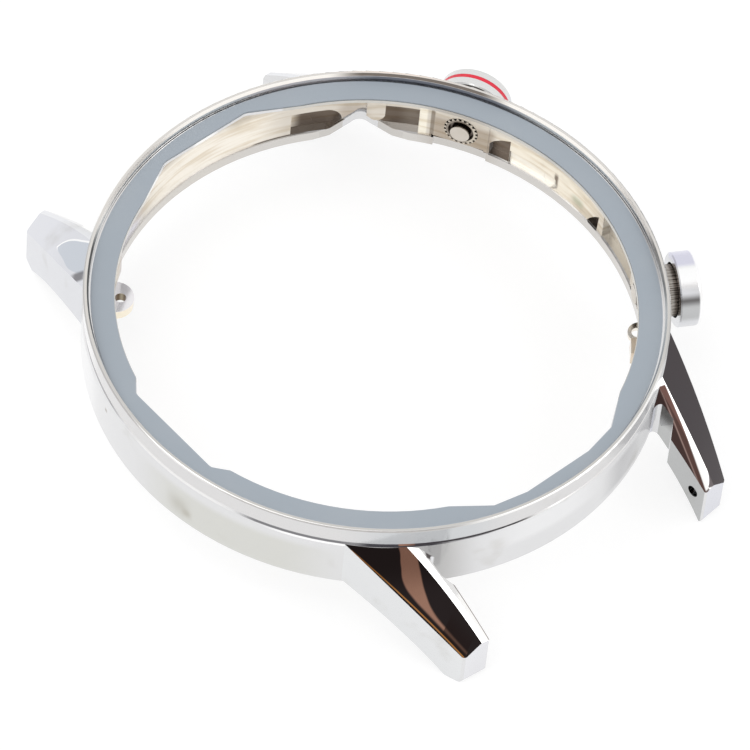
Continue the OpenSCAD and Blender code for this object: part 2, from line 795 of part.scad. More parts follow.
module button_stem(a) {
    shoulder = hollow_end - cap_in(a);
    color(steel)
        on_button_axis(a)
            difference() {
                union() {
                    translate([0, 0, stem_end])
                        cylinder(r = stem_r, h = shoulder - stem_end, $fn = 48);
                    translate([0, 0, shoulder - eps])
                        cylinder(r = tenon_r, h = tenon_len, $fn = 48);
                }
                for (u = [inner_seal_u, outer_seal_u])
                    stem_groove(u - seal_wire - 0.02, 2 * seal_wire + 0.04, seal_groove_r);
                stem_groove(clip_u - eps, clip_t + 2 * eps, clip_groove_r);
            }
}

// Groove turned into a stem
module stem_groove(u, w, r) {
    translate([0, 0, u])
        difference() {
            cylinder(r = stem_r + 1, h = w, $fn = 48);
            translate([0, 0, -1]) cylinder(r = r, h = w + 2, $fn = 48);
        }
}

module button_tube(a) {
    color("#b9bcc1")
        on_button_axis(a)
            difference() {
                union() {
                    translate([0, 0, tube_end])
                        linear_extrude(collar_base - tube_end + eps)
                            toothed(spline_r, spline_depth, spline_teeth);
                    translate([0, 0, collar_base])
                        linear_extrude(collar_h)
                            toothed(collar_r, collar_knurl, collar_teeth);
                }
                translate([0, 0, tube_end - 1])
                    cylinder(r = stem_bore_r, h = collar_top - tube_end + 2, $fn = 64);
                translate([0, 0, tube_end - 1])
                    cylinder(r = clip_recess_r, h = clip_recess + 1, $fn = 64);
                translate([0, 0, cup_floor])
                    cylinder(r = cup_r, h = cup_depth + 1, $fn = 64);
            }
}

// Flat ring between two radii, starting at u
module flat_ring(u, t, r0, r1) {
    translate([0, 0, u])
        difference() {
            cylinder(r = r1, h = t, $fn = 64);
            translate([0, 0, -1]) cylinder(r = r0, h = t + 2, $fn = 64);
        }
}

module button_case_gasket(a) {
    color("#2b2b2e")
        on_button_axis(a)
            flat_ring(seat_u, gasket_t, spline_r + 2 * press_gap, collar_r - collar_knurl);
}

module button_seal(a, u) {
    color("#1f1f22")
        on_button_axis(a)
            translate([0, 0, u])
                rotate_extrude($fn = 64)
                    translate([seal_ring_r, 0])
                        circle(seal_wire, $fn = 32);
}

module button_washer(a) {
    color("#e8e4da")
        on_button_axis(a)
            flat_ring(washer_u, washer_t, stem_bore_r, clip_r);
}

module button_clip(a) {
    color("#54565b")
        on_button_axis(a)
            translate([0, 0, clip_u])
                rotate([0, 0, clip_open / 2])
                    rotate_extrude(angle = 360 - clip_open, $fn = 64)
                        translate([clip_groove_r + press_gap, 0])
                            square([clip_r - clip_groove_r - press_gap, clip_t]);
}

// Point k of the wire's section at step i of the spring
function coil_point(i, k, steps, sides, r, w, h, turns) =
    let (
        t = i / steps,
        a = 360 * turns * t,
        b = 360 / sides * k,
        q = r + w * cos(b)
    ) [q * cos(a), q * sin(a), h * t + w * sin(b)];

module button_spring(a) {
    sides = 8;
    turns = a > 0 ? upper_spring_turns : spring_turns;
    steps = ceil(turns * 18);
    low = cup_floor + spring_wire + spring_seat;
    height = hollow_end - cap_in(a) - spring_wire - spring_seat - low;
    points = [
        for (i = [0:steps])
            for (k = [0:sides - 1])
                coil_point(i, k, steps, sides, spring_r, spring_wire, height, turns)
    ];
    body = [
        for (i = [0:steps - 1])
            for (k = [0:sides - 1])
                let (p = i * sides + k, q = i * sides + (k + 1) % sides)
                    each [[p, p + sides, q], [q, p + sides, q + sides]]
    ];
    first = [for (k = [1:sides - 2]) [0, k, k + 1]];
    last = [for (k = [1:sides - 2]) [steps * sides, steps * sides + k + 1, steps * sides + k]];
    color("#8e9196")
        on_button_axis(a)
            translate([0, 0, low])
                polyhedron(points = points, faces = concat(body, first, last));
}

case_frame();
bezel_ring();
display_adhesive();
button_cap(button_a, true);  // upper_button_cap
button_accent_ring(button_a);  // upper_button_accent_ring
button_stem(button_a);  // upper_button_stem
button_tube(button_a);  // upper_button_tube
button_case_gasket(button_a);  // upper_button_case_gasket
button_spring(button_a);  // upper_button_spring
button_seal(button_a, outer_seal_u);  // upper_button_outer_seal
button_seal(button_a, inner_seal_u);  // upper_button_inner_seal
button_washer(button_a);  // upper_button_washer
button_clip(button_a);  // upper_button_clip
button_cap(-button_a, false);  // lower_button_cap
button_stem(-button_a);  // lower_button_stem
button_tube(-button_a);  // lower_button_tube
button_case_gasket(-button_a);  // lower_button_case_gasket
button_spring(-button_a);  // lower_button_spring
button_seal(-button_a, outer_seal_u);  // lower_button_outer_seal
button_seal(-button_a, inner_seal_u);  // lower_button_inner_seal
button_washer(-button_a);  // lower_button_washer
button_clip(-button_a);  // lower_button_clip
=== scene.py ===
"""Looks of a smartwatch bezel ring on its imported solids: finishes, floor, lamps and camera."""

import logging
import math
from dataclasses import dataclass, field, replace
from enum import Enum

import bmesh
import bpy
from mathutils import Matrix, Vector


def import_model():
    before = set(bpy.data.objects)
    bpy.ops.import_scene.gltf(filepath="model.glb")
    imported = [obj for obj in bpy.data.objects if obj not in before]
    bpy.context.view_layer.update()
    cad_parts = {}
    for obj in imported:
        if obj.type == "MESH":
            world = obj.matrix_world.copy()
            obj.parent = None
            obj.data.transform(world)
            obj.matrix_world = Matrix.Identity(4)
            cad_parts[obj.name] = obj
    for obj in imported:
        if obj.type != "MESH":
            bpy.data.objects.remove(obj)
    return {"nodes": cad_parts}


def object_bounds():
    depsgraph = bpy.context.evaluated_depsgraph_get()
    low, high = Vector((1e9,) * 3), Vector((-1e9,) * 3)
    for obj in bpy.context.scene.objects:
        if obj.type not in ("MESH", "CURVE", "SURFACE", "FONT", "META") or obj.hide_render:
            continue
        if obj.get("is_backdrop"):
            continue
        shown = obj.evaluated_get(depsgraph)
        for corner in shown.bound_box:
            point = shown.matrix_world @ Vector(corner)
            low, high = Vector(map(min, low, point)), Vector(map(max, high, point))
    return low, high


LOG = logging.getLogger("bezel_ring")
MM = 0.001
PHOTO_PIXELS = 750
SENSOR_WIDTH = 36.0
WHITE = (1.0, 1.0, 1.0, 1.0)
Socket = bpy.types.NodeSocket
Tone = tuple[int, int, int]
Point = tuple[float, float]
Curve = tuple[Point, ...]
Way = tuple[float, float, float]
# Of a turn: middle, half width and soft edge. Of a length: start, end and soft edge
Span = tuple[float, float, float]
ALL_ROUND: Span = (0.0, 181.0, 0.1)
# Distances from the ring's axis at which the lugs stand out of the case
LUG: Span = (22.61, 31.0, 0.01)


def linear(tone: Tone) -> tuple[float, float, float, float]:
    """Turn a colour of 0 to 255 into the linear values that shaders take.

    Args:
        tone: Red, green and blue as a screen shows them.

    Returns:
        Linear red, green and blue, and an alpha of 1.
    """
    parts = [c / 255 for c in tone]
    made = [p / 12.92 if p <= 0.04045 else ((p + 0.055) / 1.055) ** 2.4 for p in parts]
    return (made[0], made[1], made[2], 1.0)


class Side(Enum):
    """The two push buttons."""

    UPPER = "upper"
    LOWER = "lower"

    @property
    def turn(self) -> float:
        """Direction of the button's axis from three o'clock, in degrees."""
        return 30.0 if self is Side.UPPER else -30.0


class Tree:
    """Adds nodes to one node tree and links them."""

    def __init__(self, tree: bpy.types.NodeTree) -> None:
        """Take the tree that the nodes go into."""
        self.tree = tree

    def add(self, kind: str, **settings: object) -> bpy.types.Node:
        """Add a node and set its properties.

        Args:
            kind: Blender's name of the node type.
            settings: Properties of the node.

        Returns:
            The new node.
        """
        node = self.tree.nodes.new(kind)
        for name, value in settings.items():
            setattr(node, name, value)
        return node

    def put(self, value: object, socket: Socket) -> None:
        """Link a socket's value to an input, or write a plain value there.

        Args:
            value: An output socket, a number or a colour.
            socket: The input that takes it.
        """
        if isinstance(value, bpy.types.NodeSocket):
            self.tree.links.new(value, socket)
        else:
            socket.default_value = value

    def math(self, operation: str, a: object, b: object = 0.0, c: object = 0.0) -> Socket:
        """Add a Math node.

        Args:
            operation: Blender's name of the operation.
            a: First value.
            b: Second value.
            c: Third value.

        Returns:
            The result's socket.
        """
        node = self.add("ShaderNodeMath", operation=operation)
        for value, socket in zip((a, b, c), node.inputs):
            self.put(value, socket)
        return node.outputs[0]

    def smooth(self, value: object, low: object, high: object) -> Socket:
        """Add a smooth step from 0 at low to 1 at high.

        Args:
            value: What is measured.
            low: Where the step starts.
            high: Where the step ends.

        Returns:
            The step's socket.
        """
        node = self.add("ShaderNodeMapRange", interpolation_type="SMOOTHSTEP")
        self.put(value, node.inputs["Value"])
        self.put(low, node.inputs["From Min"])
        self.put(high, node.inputs["From Max"])
        return node.outputs["Result"]

    def between(self, value: object, low: object, high: object, soft: object) -> Socket:
        """Mask that is 1 between two values and fades out over a soft edge.

        Args:
            value: What is measured.
            low: Lower limit.
            high: Upper limit.
            soft: Half width of the edges.

        Returns:
            The mask's socket.
        """
        rise = self.smooth(
            value, self.math("SUBTRACT", low, soft), self.math("ADD", low, soft)
        )
        fall = self.smooth(
            value, self.math("SUBTRACT", high, soft), self.math("ADD", high, soft)
        )
        return self.math("SUBTRACT", rise, fall)

    def mix(self, factor: object, a: object, b: object) -> Socket:
        """Mix two colours.

        Args:
            factor: Share of the second colour.
            a: First colour.
            b: Second colour.

        Returns:
            The mixed colour's socket.
        """
        node = self.add("ShaderNodeMix", data_type="RGBA")
        self.put(factor, node.inputs[0])
        self.put(a, node.inputs[6])
        self.put(b, node.inputs[7])
        return node.outputs[2]

    def tint(self, factor: object, a: object, b: object) -> Socket:
        """Multiply a colour by another.

        Args:
            factor: Share of the effect.
            a: The colour.
            b: What it is multiplied by.

        Returns:
            The tinted colour's socket.
        """
        node = self.add("ShaderNodeMix", data_type="RGBA", blend_type="MULTIPLY")
        self.put(factor, node.inputs[0])
        self.put(a, node.inputs[6])
        self.put(b, node.inputs[7])
        return node.outputs[2]

    def curve(self, value: object, points: list[tuple[float, float]]) -> Socket:
        """Add a curve that turns one value into another.

        Args:
            value: What is looked up, 0 to 1.
            points: Pairs of value and result.

        Returns:
            The result's socket.
        """
        node = self.add("ShaderNodeFloatCurve")
        node.mapping.use_clip = False
        line = node.mapping.curves[0]
        line.points[0].location = points[0]
        line.points[1].location = points[-1]
        for point in points[1:-1]:
            line.points.new(*point)
        node.mapping.update()
        self.put(value, node.inputs["Value"])
        return node.outputs[0]

    def noise(self, vector: object, scale: object, detail: float = 3.0) -> Socket:
        """Add a noise texture.

        Args:
            vector: Where it is read.
            scale: Its scale.
            detail: Octaves of finer noise.

        Returns:
            The noise's socket, about 0.5 on average.
        """
        node = self.add("ShaderNodeTexNoise")
        node.inputs["Detail"].default_value = detail
        self.put(vector, node.inputs["Vector"])
        self.put(scale, node.inputs["Scale"])
        return node.outputs["Fac"]

    def group(self, made: bpy.types.NodeTree, **values: object) -> bpy.types.Node:
        """Place a shared group.

        Args:
            made: The group's tree.
            values: Its inputs, with _ for a space in their names.

        Returns:
            The group's node.
        """
        node = self.add("ShaderNodeGroup", node_tree=made)
        for name, value in values.items():
            self.put(value, node.inputs[name.replace("_", " ")])
        return node


class Effects:
    """The shared node groups."""

    def __init__(self) -> None:
        """Build each group once."""
        self.polar = self._polar()
        self.zone = self._zone()
        self.axis = self._axis()
        self.grain = self._grain()
        self.cloud = self._cloud()
        self.scratch = self._scratch()
        self.line = self._line()
        self.streaks = self._streaks()

    @staticmethod
    def _new(name: str, inputs: dict[str, str], outputs: dict[str, str]) -> tuple:
        """Make an empty group with its sockets.

        Args:
            name: Name of the group.
            inputs: Names and kinds of its inputs.
            outputs: Names and kinds of its outputs.

        Returns:
            The tree helper, the inputs' node and the outputs' node.
        """
        tree = bpy.data.node_groups.new(name, "ShaderNodeTree")
        kinds = {"vector": "NodeSocketVector", "value": "NodeSocketFloat"}
        for label, kind in inputs.items():
            tree.interface.new_socket(label, in_out="INPUT", socket_type=kinds[kind])
        for label, kind in outputs.items():
            tree.interface.new_socket(label, in_out="OUTPUT", socket_type=kinds[kind])
        helper = Tree(tree)
        return helper, helper.add("NodeGroupInput"), helper.add("NodeGroupOutput")

    def _polar(self) -> bpy.types.NodeTree:
        """Radius and level in millimetres and direction in degrees, about the ring's axis."""
        t, inside, out = self._new(
            "ring_polar",
            {"Position": "vector"},
            {"Radius": "value", "Angle": "value", "Level": "value"},
        )
        split = t.add("ShaderNodeSeparateXYZ")
        t.put(inside.outputs["Position"], split.inputs[0])
        x, y, z = split.outputs
        square = t.math("ADD", t.math("MULTIPLY", x, x), t.math("MULTIPLY", y, y))
        radius = t.math("MULTIPLY", t.math("SQRT", square), 1 / MM)
        angle = t.math("DEGREES", t.math("ARCTAN2", y, x))
        t.put(radius, out.inputs["Radius"])
        t.put(angle, out.inputs["Angle"])
        t.put(t.math("MULTIPLY", z, 1 / MM), out.inputs["Level"])
        return t.tree

    def _zone(self) -> bpy.types.NodeTree:
        """Mask of a place on the ring, from its direction, radius and level."""
        names = [
            "Radius", "Angle", "Level", "Middle", "Half", "Angle Soft", "Radius From",
            "Radius To", "Radius Soft", "Level From", "Level To", "Level Soft",
        ]
        t, inside, out = self._new(
            "ring_zone", {n: "value" for n in names}, {"Mask": "value"}
        )
        got = inside.outputs
        away = t.math("SUBTRACT", got["Angle"], got["Middle"])
        away = t.math("ABSOLUTE", t.math("WRAP", away, 180.0, -180.0))
        turn = t.smooth(
            away,
            t.math("ADD", got["Half"], got["Angle Soft"]),
            t.math("SUBTRACT", got["Half"], got["Angle Soft"]),
        )
        ring = t.between(got["Radius"], got["Radius From"], got["Radius To"], got["Radius Soft"])
        band = t.between(got["Level"], got["Level From"], got["Level To"], got["Level Soft"])
        t.put(t.math("MULTIPLY", t.math("MULTIPLY", turn, ring), band), out.inputs["Mask"])
        return t.tree

    def _axis(self) -> bpy.types.NodeTree:
        """Place along and around a button's axis, in millimetres."""
        t, inside, out = self._new(
            "button_axis",
            {"Position": "vector", "Turn": "value", "Level": "value"},
            {"Along": "value", "Radius": "value", "Around": "value"},
        )
        turn = t.math("RADIANS", inside.outputs["Turn"])
        split = t.add("ShaderNodeSeparateXYZ")
        t.put(inside.outputs["Position"], split.inputs[0])
        x, y, z = split.outputs
        cosine, sine = t.math("COSINE", turn), t.math("SINE", turn)
        along = t.math("ADD", t.math("MULTIPLY", x, cosine), t.math("MULTIPLY", y, sine))
        across = t.math("SUBTRACT", t.math("MULTIPLY", y, cosine), t.math("MULTIPLY", x, sine))
        height = t.math("SUBTRACT", z, t.math("MULTIPLY", inside.outputs["Level"], MM))
        square = t.math(
            "ADD", t.math("MULTIPLY", across, across), t.math("MULTIPLY", height, height)
        )
        t.put(t.math("MULTIPLY", along, 1 / MM), out.inputs["Along"])
        t.put(t.math("MULTIPLY", t.math("SQRT", square), 1 / MM), out.inputs["Radius"])
        t.put(t.math("DEGREES", t.math("ARCTAN2", across, height)), out.inputs["Around"])
        return t.tree

    def _grain(self) -> bpy.types.NodeTree:
        """Fine grain of a worked surface."""
        t, inside, out = self._new(
            "metal_grain", {"Position": "vector", "Scale": "value"}, {"Height": "value"}
        )
        got = inside.outputs
        t.put(t.noise(got["Position"], got["Scale"], 4.0), out.inputs["Height"])
        return t.tree

    def _cloud(self) -> bpy.types.NodeTree:
        """Soft cloudy patches, such as handling marks on polished steel."""
        t, inside, out = self._new(
            "handling_cloud",
            {"Position": "vector", "Scale": "value", "Cover": "value"},
            {"Mask": "value"},
        )
        wide = t.noise(inside.outputs["Position"], inside.outputs["Scale"], 4.0)
        low = t.math("SUBTRACT", 0.72, t.math("MULTIPLY", inside.outputs["Cover"], 0.4))
        t.put(t.smooth(wide, low, t.math("ADD", low, 0.22)), out.inputs["Mask"])
        return t.tree

    def _scratch(self) -> bpy.types.NodeTree:
        """Sparse hair scratches."""
        t, inside, out = self._new(
            "hair_scratches",
            {"Position": "vector", "Scale": "value", "Width": "value"},
            {"Mask": "value"},
        )
        bend = t.noise(inside.outputs["Position"], t.math("MULTIPLY", inside.outputs["Scale"], 0.6))
        ring = t.math("ABSOLUTE", t.math("SUBTRACT", bend, 0.5))
        line = t.smooth(ring, inside.outputs["Width"], 0.0)
        few = t.noise(inside.outputs["Position"], inside.outputs["Scale"], 1.0)
        t.put(t.math("MULTIPLY", line, t.smooth(few, 0.52, 0.62)), out.inputs["Mask"])
        return t.tree

    def _line(self) -> bpy.types.NodeTree:
        """Place beside a line in plan view: millimetres off it and share of its length."""
        t, inside, out = self._new(
            "plan_line",
            {"Position": "vector", "Start X": "value", "Start Y": "value",
             "End X": "value", "End Y": "value"},
            {"Off": "value", "Along": "value"},
        )
        got = inside.outputs
        split = t.add("ShaderNodeSeparateXYZ")
        t.put(got["Position"], split.inputs[0])
        wide = t.math("SUBTRACT", got["End X"], got["Start X"])
        deep = t.math("SUBTRACT", got["End Y"], got["Start Y"])
        x = t.math("SUBTRACT", t.math("MULTIPLY", split.outputs[0], 1 / MM), got["Start X"])
        y = t.math("SUBTRACT", t.math("MULTIPLY", split.outputs[1], 1 / MM), got["Start Y"])
        square = t.math("ADD", t.math("MULTIPLY", wide, wide), t.math("MULTIPLY", deep, deep))
        dot = t.math("ADD", t.math("MULTIPLY", x, wide), t.math("MULTIPLY", y, deep))
        cross = t.math("SUBTRACT", t.math("MULTIPLY", y, wide), t.math("MULTIPLY", x, deep))
        t.put(t.math("DIVIDE", dot, square), out.inputs["Along"])
        t.put(t.math("DIVIDE", cross, t.math("SQRT", square)), out.inputs["Off"])
        return t.tree

    def _streaks(self) -> bpy.types.NodeTree:
        """Level streaks of a turned inner wall."""
        t, inside, out = self._new(
            "turned_streaks", {"Angle": "value", "Level": "value"}, {"Mask": "value"}
        )
        joined = t.add("ShaderNodeCombineXYZ")
        t.put(t.math("MULTIPLY", inside.outputs["Angle"], 0.07), joined.inputs[0])
        t.put(t.math("MULTIPLY", inside.outputs["Level"], 2.2), joined.inputs[1])
        drawn = t.noise(joined.outputs[0], 1.0, 4.0)
        t.put(t.smooth(drawn, 0.42, 0.68), out.inputs["Mask"])
        return t.tree


@dataclass(frozen=True)
class Spot:
    """Where a finish is being read: place, facing and the ring's own measures."""

    effects: Effects
    place: Socket
    facing: Socket
    radius: Socket
    angle: Socket
    level: Socket

    @classmethod
    def of(cls, t: Tree, effects: Effects) -> "Spot":
        """Add the nodes that read the place.

        Args:
            t: Tree of the material.
            effects: The shared groups.

        Returns:
            The sockets that marks read.
        """
        coordinates = t.add("ShaderNodeTexCoord").outputs
        polar = t.group(effects.polar, Position=coordinates["Object"]).outputs
        return cls(
            effects, coordinates["Object"], coordinates["Normal"],
            polar["Radius"], polar["Angle"], polar["Level"],
        )

    def within(self, t: Tree, measures: tuple[Socket, ...], spans: tuple[Span, ...]) -> Socket:
        """Mask of what lies within three spans.

        Args:
            t: Tree of the material.
            measures: The direction, the distance from the axis and the place along it.
            spans: The span of each measure.

        Returns:
            The mask's socket.
        """
        angle, radius, level = measures
        turn, ring, band = spans
        return t.group(
            self.effects.zone,
            Radius=radius, Angle=angle, Level=level,
            Middle=turn[0], Half=turn[1], Angle_Soft=turn[2],
            Radius_From=ring[0], Radius_To=ring[1], Radius_Soft=ring[2],
            Level_From=band[0], Level_To=band[1], Level_Soft=band[2],
        ).outputs["Mask"]

    def turned(self, t: Tree, way: Way, least: float) -> Socket:
        """Mask of the faces that look one way.

        Args:
            t: Tree of the material.
            way: The direction they look.
            least: Cosine of the widest angle to it.

        Returns:
            The mask's socket.
        """
        dot = t.add("ShaderNodeVectorMath", operation="DOT_PRODUCT")
        t.put(self.facing, dot.inputs[0])
        dot.inputs[1].default_value = Vector(way).normalized()
        return t.smooth(dot.outputs["Value"], least - 0.02, least + 0.02)


@dataclass(frozen=True)
class Zone:
    """A tone on part of the ring: direction, radius and level with their soft edges."""

    tone: Tone
    angle: Span = ALL_ROUND
    radius: Span = (0.0, 40.0, 0.02)
    level: Span = (-20.0, 20.0, 0.02)
    share: float = 1.0
    way: Way | None = None
    least: float = 0.93

    def mask(self, t: Tree, spot: Spot) -> Socket:
        """Add the nodes of the zone's mask.

        Args:
            t: Tree of the material.
            spot: The measures that the mask reads.

        Returns:
            The mask's socket.
        """
        mask = spot.within(
            t, (spot.angle, spot.radius, spot.level), (self.angle, self.radius, self.level)
        )
        if self.way:
            mask = t.math("MULTIPLY", mask, spot.turned(t, self.way, self.least))
        return mask


@dataclass(frozen=True)
class Stripe:
    """A tone between two curves that run beside a line in plan view."""

    tone: Tone
    start: Point
    end: Point
    low: Curve
    high: Curve
    way: Way
    soft: float = 0.03
    share: float = 1.0
    least: float = 0.93
    reach: float = 4.0

    def mask(self, t: Tree, spot: Spot) -> Socket:
        """Add the nodes of the stripe's mask.

        Args:
            t: Tree of the material.
            spot: The measures that the mask reads.

        Returns:
            The mask's socket.
        """
        line = t.group(
            spot.effects.line, Position=spot.place, Start_X=self.start[0],
            Start_Y=self.start[1], End_X=self.end[0], End_Y=self.end[1],
        ).outputs
        off = t.math("DIVIDE", line["Off"], self.reach)
        edges = [
            t.curve(line["Along"], [(at, value / self.reach) for at, value in points])
            for points in (self.low, self.high)
        ]
        band = t.between(off, edges[0], edges[1], self.soft / self.reach)
        within = t.between(line["Along"], 0.0, 1.0, 0.01)
        mask = t.math("MULTIPLY", band, within)
        return t.math("MULTIPLY", mask, spot.turned(t, self.way, self.least))


@dataclass(frozen=True)
class Band:
    """A tone on part of a button, measured along, from and around its axis."""

    tone: Tone
    side: Side
    around: Span = ALL_ROUND
    along: Span = (0.0, 40.0, 0.02)
    out: Span = (0.0, 40.0, 0.02)
    share: float = 1.0
    drop: float = -2.92

    def mask(self, t: Tree, spot: Spot) -> Socket:
        """Add the nodes of the band's mask.

        Args:
            t: Tree of the material.
            spot: The measures that the mask reads.

        Returns:
            The mask's socket.
        """
        axis = t.group(
            spot.effects.axis, Position=spot.place, Turn=self.side.turn, Level=self.drop
        ).outputs
        return spot.within(
            t, (axis["Around"], axis["Radius"], axis["Along"]), (self.around, self.out, self.along)
        )


class Surface:
    """A new material: its node tree and its shader."""

    def __init__(self, name: str) -> None:
        """Start the material.

        Args:
            name: Its name.
        """
        self.material = bpy.data.materials.new(name)
        self.material.use_nodes = True
        self.tree = Tree(self.material.node_tree)
        self.shader = self.material.node_tree.nodes["Principled BSDF"]

    def finish(self, colour: Socket, rough: Socket, height: Socket, depth: Point) -> None:
        """Link the colour, the roughness and the fine relief.

        Args:
            colour: Base colour.
            rough: Roughness.
            height: Height of the relief.
            depth: Strength of the relief and its reach in millimetres.
        """
        t = self.tree
        t.put(colour, self.shader.inputs["Base Color"])
        t.put(rough, self.shader.inputs["Roughness"])
        bump = t.add("ShaderNodeBump")
        bump.inputs["Strength"].default_value = depth[0]
        bump.inputs["Distance"].default_value = depth[1] * MM
        t.put(height, bump.inputs["Height"])
        t.put(bump.outputs[0], self.shader.inputs["Normal"])


@dataclass(frozen=True)
class Metal:
    """A metal's tone, gloss and surface marks, with zones of painted reflection and painted shade
    laid on its colour.
    """

    name: str
    tone: Tone
    roughness: float
    grain_depth: float = 0.1
    grain_scale: float = 900.0
    cloud_tone: Tone = (205, 200, 188)
    cloud_scale: float = 260.0
    cloud_cover: float = 0.35
    cloud_share: float = 0.35
    scratch_share: float = 0.25
    scratch_scale: float = 420.0
    scratch_width: float = 0.012
    scratch_roughness: float = 0.4
    fine_roughness: float = 0.06
    relief: float = 0.02
    marks: tuple[Zone | Stripe | Band, ...] = ()
    dull: tuple[Zone, ...] = ()
    dull_roughness: float = 0.38
    echo: float = 0.0
    streaks: Zone | None = None

    def make(self, effects: Effects) -> bpy.types.Material:
        """Build the material.

        Args:
            effects: The shared groups.

        Returns:
            The material.
        """
        surface = Surface(self.name)
        t = surface.tree
        spot = Spot.of(t, effects)
        cloud = t.group(
            effects.cloud, Position=spot.place, Scale=self.cloud_scale, Cover=self.cloud_cover
        ).outputs["Mask"]
        colour: object = linear(self.tone)
        # Each mark paints a tone over the base colour; on these pieces most marks are painted
        # reflections, painted highlights and painted shade.
        for mark in self.marks:
            share = t.math("MULTIPLY", mark.mask(t, spot), mark.share)
            colour = t.mix(share, colour, linear(mark.tone))
        share = t.math("MULTIPLY", cloud, self.cloud_share)
        colour = t.tint(share, colour, linear(self.cloud_tone))
        if self.streaks:
            drawn = t.group(effects.streaks, Angle=spot.angle, Level=spot.level).outputs["Mask"]
            share = t.math("MULTIPLY", self.streaks.mask(t, spot), drawn)
            share = t.math("MULTIPLY", share, self.streaks.share)
            colour = t.tint(share, colour, linear(self.streaks.tone))
        # Glossy rays see the plain tone, so the painted reflections and shade don't show mirrored
        # in other parts.
        if self.echo:
            mirrored = t.add("ShaderNodeLightPath").outputs["Is Glossy Ray"]
            share = t.math("MULTIPLY", mirrored, self.echo)
            colour = t.mix(share, colour, linear(self.tone))
        scratch = t.group(
            effects.scratch,
            Position=spot.place, Scale=self.scratch_scale, Width=self.scratch_width,
        ).outputs["Mask"]
        grain = t.group(
            effects.grain, Position=spot.place, Scale=self.grain_scale
        ).outputs["Height"]
        rough = t.math("MULTIPLY_ADD", cloud, self.fine_roughness, self.roughness)
        worn = self.scratch_roughness * self.scratch_share
        rough = t.math("MULTIPLY_ADD", scratch, worn, rough)
        rough = t.math("MULTIPLY_ADD", grain, self.fine_roughness, rough)
        for zone in self.dull:
            more = self.dull_roughness - self.roughness
            rough = t.math("MULTIPLY_ADD", zone.mask(t, spot), more, rough)
        surface.shader.inputs["Metallic"].default_value = 1.0
        surface.finish(colour, rough, grain, (self.grain_depth, self.relief))
        return surface.material


@dataclass(frozen=True)
class Soft:
    """A film, rubber or plastic: its tone, gloss and mottling."""

    name: str
    tone: Tone
    mottle_tone: Tone
    roughness: float
    scale: float = 500.0
    share: float = 0.5
    cover: float = 0.6
    coat: float = 0.0
    mottle_roughness: float = 0.12
    grain_scale: float = 4000.0
    grain_depth: float = 0.2
    relief: float = 0.01

    def make(self, effects: Effects) -> bpy.types.Material:
        """Build the material.

        Args:
            effects: The shared groups.

        Returns:
            The material.
        """
        surface = Surface(self.name)
        t = surface.tree
        place = t.add("ShaderNodeTexCoord").outputs["Object"]
        mottle = t.group(
            effects.cloud, Position=place, Scale=self.scale, Cover=self.cover
        ).outputs["Mask"]
        share = t.math("MULTIPLY", mottle, self.share)
        colour = t.mix(share, linear(self.tone), linear(self.mottle_tone))
        grain = t.group(
            effects.grain, Position=place, Scale=self.grain_scale
        ).outputs["Height"]
        rough = t.math("MULTIPLY_ADD", mottle, self.mottle_roughness, self.roughness)
        surface.shader.inputs["Coat Weight"].default_value = self.coat
        surface.finish(colour, rough, grain, (self.grain_depth, self.relief))
        return surface.material


def dress(node: bpy.types.Object, material: bpy.types.Material) -> None:
    """Give a piece's material slots one finish and report it.

    Args:
        node: The piece.
        material: Its finish.
    """
    if not node.material_slots:
        node.data.materials.append(material)
    for slot in node.material_slots:
        slot.material = material
    LOG.info("%s: %s", node.name, material.name)


